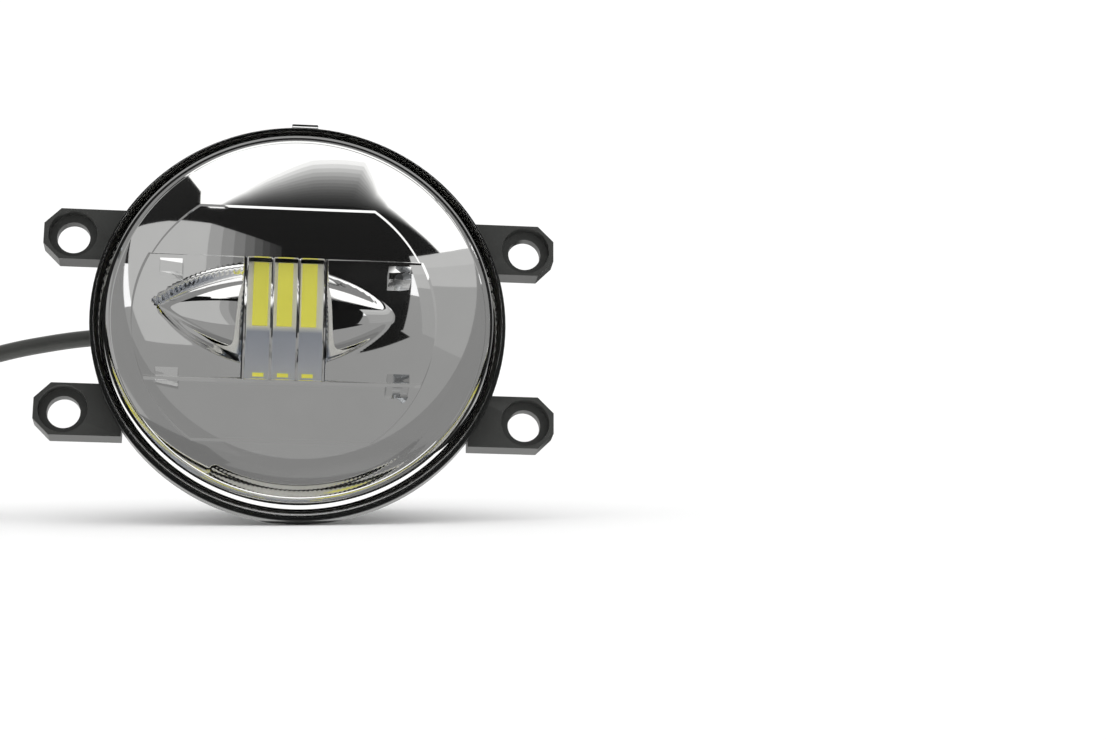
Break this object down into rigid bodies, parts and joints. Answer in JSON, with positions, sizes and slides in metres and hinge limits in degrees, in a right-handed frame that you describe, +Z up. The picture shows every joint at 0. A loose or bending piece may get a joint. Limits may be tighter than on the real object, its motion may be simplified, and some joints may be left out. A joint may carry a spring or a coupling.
{
  "type": "fog light",
  "caption": "Round LED fog lamp with a clear domed lens over a mirrored bowl and fluted projector bar, tilting in a bracket with bolt ears, with a cable and plug.",
  "frame": {"origin": "middle of the four ear holes, on the rear seating face of the ears", "axes": "the lamp shines along -Y, +Z is up as fitted, +X is to the right of a person facing the lens"},
  "size_m": [0.2102, 0.0814, 0.1089],
  "materials": {
    "bracket_plastic": "fine-textured charcoal plastic",
    "housing_plastic": "semi-gloss black plastic",
    "clear_lens": "clear polycarbonate",
    "clear_optic": "clear acrylic",
    "mirror_coat": "vacuum-metallised mirror",
    "sealant": "pale grey sealant",
    "zinc_screw": "zinc-plated steel",
    "nut_plastic": "natural acetal",
    "board_white": "white solder mask on aluminium",
    "phosphor": "yellow LED phosphor",
    "thermal_pad": "grey-blue silicone pad",
    "wire": "wire insulation",
    "cast_aluminium": "die-cast, matt",
    "gasket": "black rubber",
    "board_green": "green solder mask",
    "components": "electronic parts",
    "cover_plastic": "black plastic",
    "cable_rubber": "dark grey rubber sheath",
    "plug_seal": "orange silicone",
    "brass": "plated brass"
  },
  "bodies": {
    "bracket": {"bracket_frame": "bracket_plastic"},
    "lamp": {"pivot_screws": "zinc_screw", "outer_lens": "clear_lens", "lens_seal": "sealant", "housing": "housing_plastic", "reflector": "mirror_coat", "projector_optic": "clear_optic", "optic_screws": "zinc_screw", "led_board": "board_white", "led_emitters": "phosphor", "thermal_pad": "thermal_pad", "led_leads": "wire", "heat_sink": "cast_aluminium", "housing_gasket": "gasket", "housing_screws": "zinc_screw", "driver_board": "board_green", "driver_parts": "components", "cable_cores": "wire", "cover_gasket": "gasket", "rear_cover": "cover_plastic", "cover_screws": "zinc_screw", "vent_cap": "cover_plastic", "gland_body": "cover_plastic", "gland_nut": "cover_plastic", "gland_seal": "gasket", "cable": "cable_rubber", "plug_body": "cover_plastic", "plug_seal": "plug_seal", "plug_contacts": "brass", "plug_lock": "cover_plastic"},
    "adjuster_screw": {"aim_screw": "zinc_screw", "screw_clip": "zinc_screw"},
    "adjuster_nut": {"aim_nut": "nut_plastic"}
  },
  "joints": [
    {"name": "lamp_tilt", "type": "hinge", "parent": "bracket", "child": "lamp", "pos_m": [0, 0, 0], "axis": [1, 0, 0], "range_deg": [-3, 3]},
    {"name": "screw_turn", "type": "hinge", "parent": "bracket", "child": "adjuster_screw", "pos_m": [0, 0, 0.046], "axis": [0, 1, 0], "range_deg": [-700, 700]},
    {"name": "nut_slide", "type": "slide", "parent": "bracket", "child": "adjuster_nut", "axis": [0, 1, 0], "range_m": [-0.00245, 0.00245]}
  ],
  "couplings": [
    {"joint": "screw_turn", "follows": "lamp_tilt", "ratio": 231.22},
    {"joint": "nut_slide", "follows": "lamp_tilt", "m_per_rad": -0.046}
  ]
}
